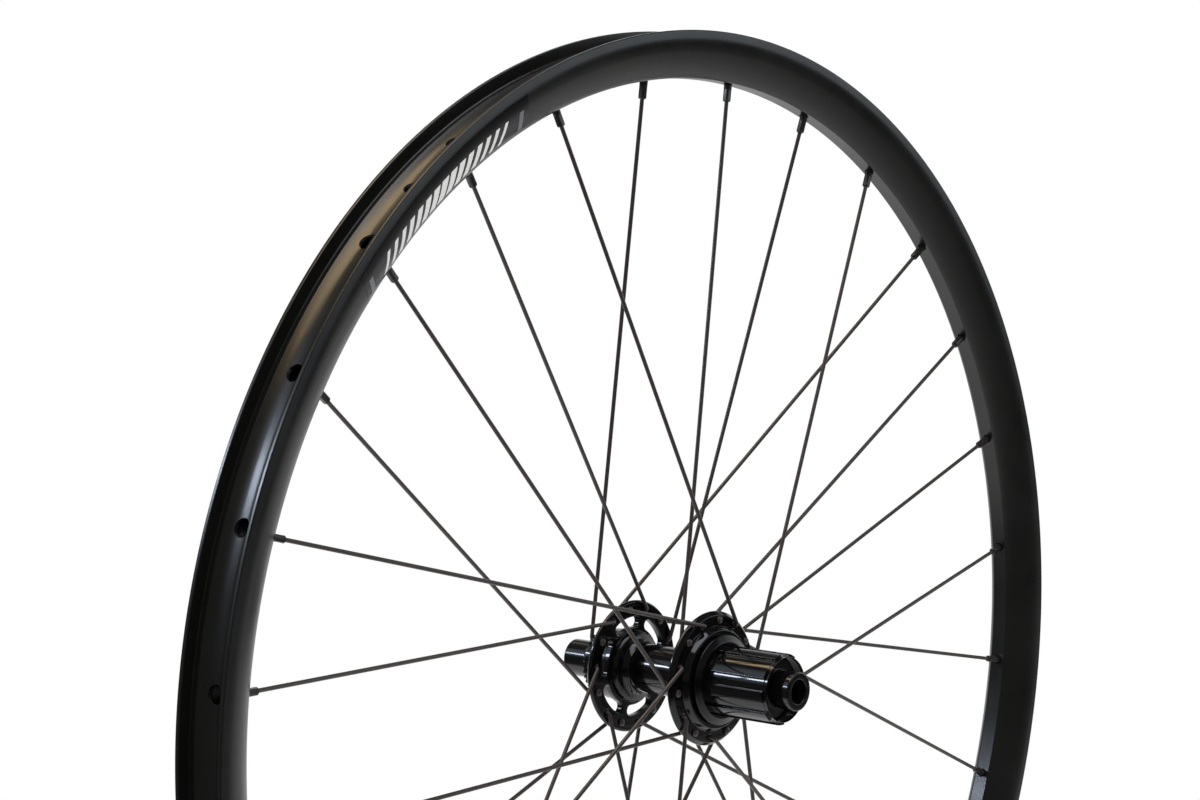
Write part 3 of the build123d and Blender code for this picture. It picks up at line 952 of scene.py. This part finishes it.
# Anodising over small machined nuts: a softer black than the hub, with a dull light on each flat.
black_nipple = anodised(
    "black_anodised_nipple_alloy", "#171514", "#201d1b",
    roughness=0.3, grain_width=0.4 * MM, grain_depth=0.001 * MM,
)
nipple_steps = [
    (0.0, 1.2),
    (0.0, 1.55),
    (0.25, 1.75),
    (0.45, nipple_corner, nipple_flat),
    (5.7, nipple_corner, nipple_flat),
    (6.3, nipple_corner),
    (6.6, collar_radius),
    (11.2, collar_radius),
    (11.2, nipple_head_radius),
    (13.1, nipple_head_radius),
    (13.4, nipple_head_radius - 0.5),
]
nipple_seats = [(lacing["nipple_tip"], lacing["way"]) for lacing in lacings]
nipples = set_out("nipple_set", spun("nipple", nipple_steps, sides=32), black_nipple, nipple_seats)
fitted(nipples, "wheel", "nipple_alloy", black_nipple, "nipples", sharp=30)

# Rim
# Hollow alloy extrusion rolled into a hoop and welded, with a hookless tyre channel. It is
# drilled for nipples and valve, then blasted and anodised satin black.
bead_seat_radius = 311.0
bead_seat_ease = 0.8
rim_edge_radius = 317.0
rim_half_width = 14.2
lip_ease = 0.6
channel_inner_half = 12.0
channel_radius = 308.8
channel_half = 9.0
channel_steps = 6
bed_half = 3.8
chamber_floor_radius = 295.8
chamber_floor_half = 4.2
chamber_roof_radius = 307.6
chamber_edge_radius = 309.8
chamber_edge_outer = 12.2
chamber_edge_inner = 9.6
flank_wall = 1.0
flank_curve = [
    Vector((spoke_bed_radius, bed_half)),
    Vector((spoke_bed_radius, 5.23)),
    Vector((300.2, 10.57)),
    Vector((bead_seat_radius, rim_half_width)),
]
flank_steps = 25
wall_start = Vector((313.5, rim_half_width))
blend_share = 0.88
access_hole_radius = 4.25
access_drill_start = 304.0
access_drill_depth = 12.0
nipple_hole_radius = 2.45
nipple_drill_depth = 14.0
valve_hole_radius = 3.25
valve_drill_start = 285.0
valve_drill_depth = 40.0


def flank(share):
    """(radius, half width) along the rim's flank, from the spoke bed round into the wall."""
    a, b, c, d = flank_curve
    if share > blend_share:
        return bent(flank(blend_share), d, wall_start, (share - blend_share) / (1 - blend_share))
    rest = 1 - share
    return a * rest**3 + b * 3 * rest**2 * share + c * 3 * rest * share**2 + d * share**3


def flank_outward(share):
    """Direction square to the flank, outwards, in (radius, half width)."""
    step = flank(min(share + 0.01, 1)) - flank(max(share - 0.01, 0))
    return Vector((-step.y, step.x)).normalized()


half_section = [
    *[tuple(flank(step / flank_steps)) for step in range(flank_steps + 1)],
    (rim_edge_radius, rim_half_width, lip_ease),
    (rim_edge_radius, channel_inner_half, lip_ease),
    (bead_seat_radius, channel_inner_half, bead_seat_ease),
]
for step in range(channel_steps, 0, -1):
    rise = (bead_seat_radius - channel_radius) * (step / channel_steps) ** 2
    half_section.append((channel_radius + rise, channel_half * step / channel_steps))
half_chamber = [
    (chamber_floor_radius, chamber_floor_half),
    *[tuple(flank(share) - flank_outward(share) * flank_wall) for share in (0.6, 0.7, 0.8)],
    (chamber_edge_radius, chamber_edge_outer),
    (chamber_edge_radius, chamber_edge_inner),
    (chamber_roof_radius, channel_half / 2),
]


def both_halves(half):
    """Closed section of the rim from its disc-side half."""
    return half + [(radius, -station, *ease) for radius, station, *ease in reversed(half)]


def outwards(radius, angle):
    """Seat for a fitting at a radius in the rim's middle plane, facing away from the axle."""
    return around(radius, angle), around(1, angle).normalized()


# Blasted, then anodised black: satin, so lamps spread into broad soft bands. The grain of the
# blasting is finer than this; it is drawn at a millimetre so that it shows.
satin_black = anodised(
    "satin_black_anodised_aluminium", "#0e0e0c", "#151513",
    roughness=0.29, grain_width=1.0 * MM, grain_depth=0.0006 * MM,
)
rim_hoop = turned(
    "rim_hoop", eased(both_halves(half_section), 0.3, 5),
    hollow=eased(both_halves(half_chamber), 0.4, 2), segments=448,
)
rim_hoop.data.materials.append(satin_black)
for name, radius, depth, sides, finish, hole_seats in (
    ("access_holes", access_hole_radius, access_drill_depth, 40, bare_aluminium,
     [outwards(access_drill_start, lacing["rim_angle"]) for lacing in lacings]),
    ("nipple_holes", nipple_hole_radius, nipple_drill_depth, 28, satin_black, nipple_seats),
    ("valve_hole", valve_hole_radius, valve_drill_depth, 48, bare_aluminium,
     [outwards(valve_drill_start, valve_angle)]),
):
    drill = spun(f"{name}_drill", [(0, radius), (depth, radius)], sides)
    rim_hoop = cut(rim_hoop, set_out(name, drill, finish, hole_seats))
fitted(rim_hoop, "wheel", "rim_anodised", None, "rim", sharp=30)

# Rim band
# Printed vinyl film on the drive-side flank by the valve: a gloss black panel with a plain row
# of slanted white bars between two grey ones. It is cut out flat and pressed onto the curve.
band_centre = 126.9
band_half = 64.5
band_low = 0.16
band_high = 0.97
band_radius = 303.0
film_thickness = 0.08
bar_low = 0.42
bar_high = 0.84
bar_slant = 5.0
bar_count = 15
bar_pitch = 6.6
bar_share = 0.78
bar_thinning = 0.6
grey_bar_width = 3.0
grey_bar_inset = 5.0


def film(name, corners, layer, finish, columns=3, rows=8):
    """Film on the drive-side flank between corners of (length along the rim, share of the flank)."""
    lift = (layer + 0.5) * film_thickness
    low_start, low_end, high_end, high_start = [Vector(corner) for corner in corners]
    mesh = bmesh.new()
    grid = []
    for up in range(rows + 1):
        row = []
        for step in range(columns + 1):
            low = low_start.lerp(low_end, step / columns)
            high = high_start.lerp(high_end, step / columns)
            length, share = low.lerp(high, up / rows)
            radius, half_width = flank(share) + flank_outward(share) * lift
            angle = band_centre - length / band_radius * 180 / pi
            row.append(mesh.verts.new(around(radius, angle, -half_width)))
        grid.append(row)
    for row, above in zip(grid, grid[1:]):
        for step in range(columns):
            mesh.faces.new((row[step], row[step + 1], above[step + 1], above[step]))
    bmesh.ops.recalc_face_normals(mesh, faces=mesh.faces)
    piece = from_bmesh(name, mesh)
    wall = piece.modifiers.new("film", "SOLIDIFY")
    wall.thickness = film_thickness * MM
    wall.offset = 0
    return fitted(plain(piece), "wheel", "rim_anodised", finish)


def upright_bar(middle, width, slant=0.0):
    """Corners of a bar across the band, whose top is further along than its foot by a slant."""
    foot, top = middle - slant / 2, middle + slant / 2
    return [
        (foot - width / 2, bar_low), (foot + width / 2, bar_low),
        (top + width / 2, bar_high), (top - width / 2, bar_high),
    ]


def printed_vinyl(name, colour, roughness):
    """Printed vinyl under clear laminate: even colour with a faint orange-peel in its gloss."""
    peel_width = 2.5 * MM
    peel_depth = 0.02 * MM
    material, tree, shader, place = finish_named(name, colour, roughness)
    peel = add(tree, "ShaderNodeTexNoise", {"Vector": place, "Scale": 1 / peel_width, "Detail": 1.0})
    add(
        tree, "ShaderNodeBump", {"Height": peel, "Strength": 0.15, "Distance": peel_depth},
        into=shader.inputs["Normal"],
    )
    return material


film(
    "band_panel",
    [(-band_half, band_low), (band_half, band_low), (band_half, band_high), (-band_half, band_high)],
    0, printed_vinyl("black_vinyl_film", "#060607", 0.22), columns=60, rows=12,
)
white_ink = printed_vinyl("white_vinyl_print", "#efefec", 0.3)
for bar in range(bar_count):
    middle = (bar - (bar_count - 1) / 2) * bar_pitch
    width = bar_pitch * (bar_share - bar_thinning * abs(middle) / band_half)
    film(f"band_bar_{bar + 1:02d}", upright_bar(middle, width, bar_slant), 1, white_ink)
grey_ink = printed_vinyl("grey_vinyl_print", "#6a6e71", 0.3)
for end, side in (("low", -1), ("high", 1)):
    middle = side * (band_half - grey_bar_inset)
    film(f"band_end_{end}", upright_bar(middle, grey_bar_width), 1, grey_ink)

# Studio
# White paper on the floor and behind, in a dim room: a long lamp behind on the left gives the
# hub its streaks, a warm ceiling lamp behind the rim its brown glow, and a window its blue.
floor_half = 12.0
floor_fade_start = 0.55
floor_fade_end = 0.95
room_light = 0.8
room_dark = 0.1
paper_top_start = 0.3
paper_top_end = 0.62
scene = bpy.context.scene
scene.view_settings.view_transform = "Standard"


def rays(tree):
    """Marks of 1 for rays from the eye, straight or through glass, and for mirrored ones."""
    path = add(tree, "ShaderNodeLightPath").outputs
    eye = add(
        tree, "ShaderNodeMath",
        {0: path["Is Camera Ray"], 1: path["Is Transmission Ray"]}, operation="MAXIMUM",
    )
    return eye, path["Is Glossy Ray"]


floor_mesh = bmesh.new()
floor_mesh.faces.new([
    floor_mesh.verts.new((floor_half * x, floor_half * y, cad_box[0].z))
    for x, y in ((-1, -1), (1, -1), (1, 1), (-1, 1))
])
floor = from_bmesh("studio_floor", floor_mesh)
# Matt white paper that keeps the wheel's shadow, and fades to plain white away from it.
paper, tree, shader, place = finish_named("white_paper_sweep", "#e6e6e5", 0.9)
eye_ray, mirrored_ray = rays(tree)
across_floor = add(tree, "ShaderNodeSeparateXYZ", {0: place}).outputs
off_centre = add(tree, "ShaderNodeVectorMath", {0: place}, operation="LENGTH").outputs["Value"]
fade = add(
    tree, "ShaderNodeMapRange",
    {"Value": off_centre, "From Min": floor_fade_start, "From Max": floor_fade_end},
)
# In the gloss of the wheel the paper is bright behind it, and dim in front, past its left edge
# and far off. Each row has a distance in metres, its two ends, the levels there and the blend.
mirrored_level = 1.0
for distance, start, end, start_level, end_level, blend in (
    (across_floor["Y"], -1.35, 0.45, 0.03, 1.2, "SMOOTHSTEP"),
    (across_floor["X"], -0.5, -0.3, 0.1, 1.0, "SMOOTHSTEP"),
    (off_centre, 0.5, 1.6, 1.0, 0.65, "LINEAR"),
):
    level = add(
        tree, "ShaderNodeMapRange",
        {"Value": distance, "From Min": start, "From Max": end,
         "To Min": start_level, "To Max": end_level},
        interpolation_type=blend,
    )
    mirrored_level = add(tree, "ShaderNodeMath", {0: mirrored_level, 1: level}, operation="MULTIPLY")
plain_white = add(tree, "ShaderNodeMath", {0: eye_ray, 1: fade}, operation="MULTIPLY")
glow_share = add(tree, "ShaderNodeMath", {0: plain_white, 1: mirrored_ray}, operation="MAXIMUM")
glow_level = add(tree, "ShaderNodeMix", {"Factor": mirrored_ray, "A": 1.0, "B": mirrored_level})
glow = add(tree, "ShaderNodeEmission", {"Strength": glow_level})
add(
    tree, "ShaderNodeMixShader", {0: glow_share, 1: shader, 2: glow},
    into=tree.nodes["Material Output"].inputs["Surface"],
)
floor.data.materials.append(paper)

world = bpy.data.worlds.new("white_room")
scene.world = world
world.use_nodes = True
tree = world.node_tree
eye_ray, mirrored_ray = rays(tree)
direction = add(tree, "ShaderNodeTexCoord").outputs["Generated"]
height = add(tree, "ShaderNodeSeparateXYZ", {0: direction})
below_top = add(
    tree, "ShaderNodeMapRange",
    {"Value": height.outputs["Z"], "From Min": paper_top_start, "From Max": paper_top_end,
     "To Min": 1.0, "To Max": 0.0},
    interpolation_type="SMOOTHSTEP",
)
# In the gloss of the wheel the room is dark, but for the paper behind it, a pale screen on the
# right, a lamp above and a window on the left. Each row has a direction, the cosines off it at
# which the light starts and is full, its colour, its level and what holds it back.
room = (room_dark,) * 3
for centre, edge, middle, colour, strength, held_back in (
    ((0.95, 0.3, 0.0), 0.35, 0.85, "#ffffff", 1.0, below_top),
    ((0.72, -0.69, 0.1), 0.955, 0.995, "#bcc4cc", 2.9, 1.0),
    ((0.3, 0.62, 0.72), 0.985, 0.998, "#fff4e0", 0.7, 1.0),
    ((-0.6, 0.6, 0.53), 0.93, 0.995, "#dbe6f5", 1.2, 1.0),
):
    way = Vector(centre).normalized()
    toward = add(tree, "ShaderNodeVectorMath", {0: direction, 1: way}, operation="DOT_PRODUCT")
    patch = add(
        tree, "ShaderNodeMapRange",
        {"Value": toward.outputs["Value"], "From Min": edge, "From Max": middle, "To Max": strength},
        interpolation_type="SMOOTHSTEP",
    )
    level = add(tree, "ShaderNodeMath", {0: patch, 1: held_back}, operation="MULTIPLY")
    light = add(tree, "ShaderNodeVectorMath", {0: linear(colour)[:3], "Scale": level}, operation="SCALE")
    room = add(tree, "ShaderNodeVectorMath", {0: room, 1: light}, operation="MAXIMUM")
even_light = (room_light,) * 3
white = (1.0,) * 3
lit = add(tree, "ShaderNodeMix", {"Factor": mirrored_ray, 4: even_light, 5: room}, data_type="VECTOR")
seen = add(tree, "ShaderNodeMix", {"Factor": eye_ray, 4: lit.outputs[1], 5: white}, data_type="VECTOR")
tree.links.new(seen.outputs[1], tree.nodes["Background"].inputs["Color"])


def soft_lamp(name, place, aim, size, power, colour, lights_paper=True):
    """Rectangular soft lamp that faces a point."""
    lamp = bpy.data.lights.new(name, "AREA")
    lamp.shape = "RECTANGLE"
    lamp.size, lamp.size_y = size
    lamp.energy = power
    lamp.color = linear(colour)[:3]
    holder = bpy.data.objects.new(name, lamp)
    holder.location = place
    holder.rotation_euler = (Vector(aim) - Vector(place)).to_track_quat("-Z", "Y").to_euler()
    holder.visible_camera = False
    holder.visible_diffuse = lights_paper
    bpy.context.collection.objects.link(holder)


soft_lamp(
    "overhead_lamp", place=(-0.1, -0.35, 2.2), aim=(0, 0, 0),
    size=(1.8, 1.5), power=26, colour="#f2f6ff",
)
soft_lamp(
    "streak_lamp", place=(-0.80, 0.72, 0.51), aim=(0, 0.72, 0),
    size=(0.3, 0.105), power=3.2, colour="#dfecff",
)
soft_lamp(
    "warm_lamp", place=(-0.66, 0.76, 2.05), aim=(-0.2, 0, 0.23),
    size=(1.75, 0.7), power=20, colour="#ffe0b0", lights_paper=False,
)

# Camera
# Low on the drive side and to the rear, at the photograph's place and angle. Its place and lens
# were fitted to the circles of the rim and the hub in the photograph.
camera_place = Vector((-1029.70, -822.51, 252.79)) * MM
camera_azimuth = radians(-49.581)
camera_elevation = radians(5.038)
camera_focal_pixels = 2683.45
image_width_pixels = 1200
camera = bpy.data.cameras.new("camera")
camera.sensor_width = 36
camera.lens = camera_focal_pixels / image_width_pixels * camera.sensor_width
viewer = bpy.data.objects.new("camera", camera)
viewer.location = camera_place
viewer.rotation_euler = (pi / 2 - camera_elevation, 0, camera_azimuth)
bpy.context.collection.objects.link(viewer)
scene.camera = viewer
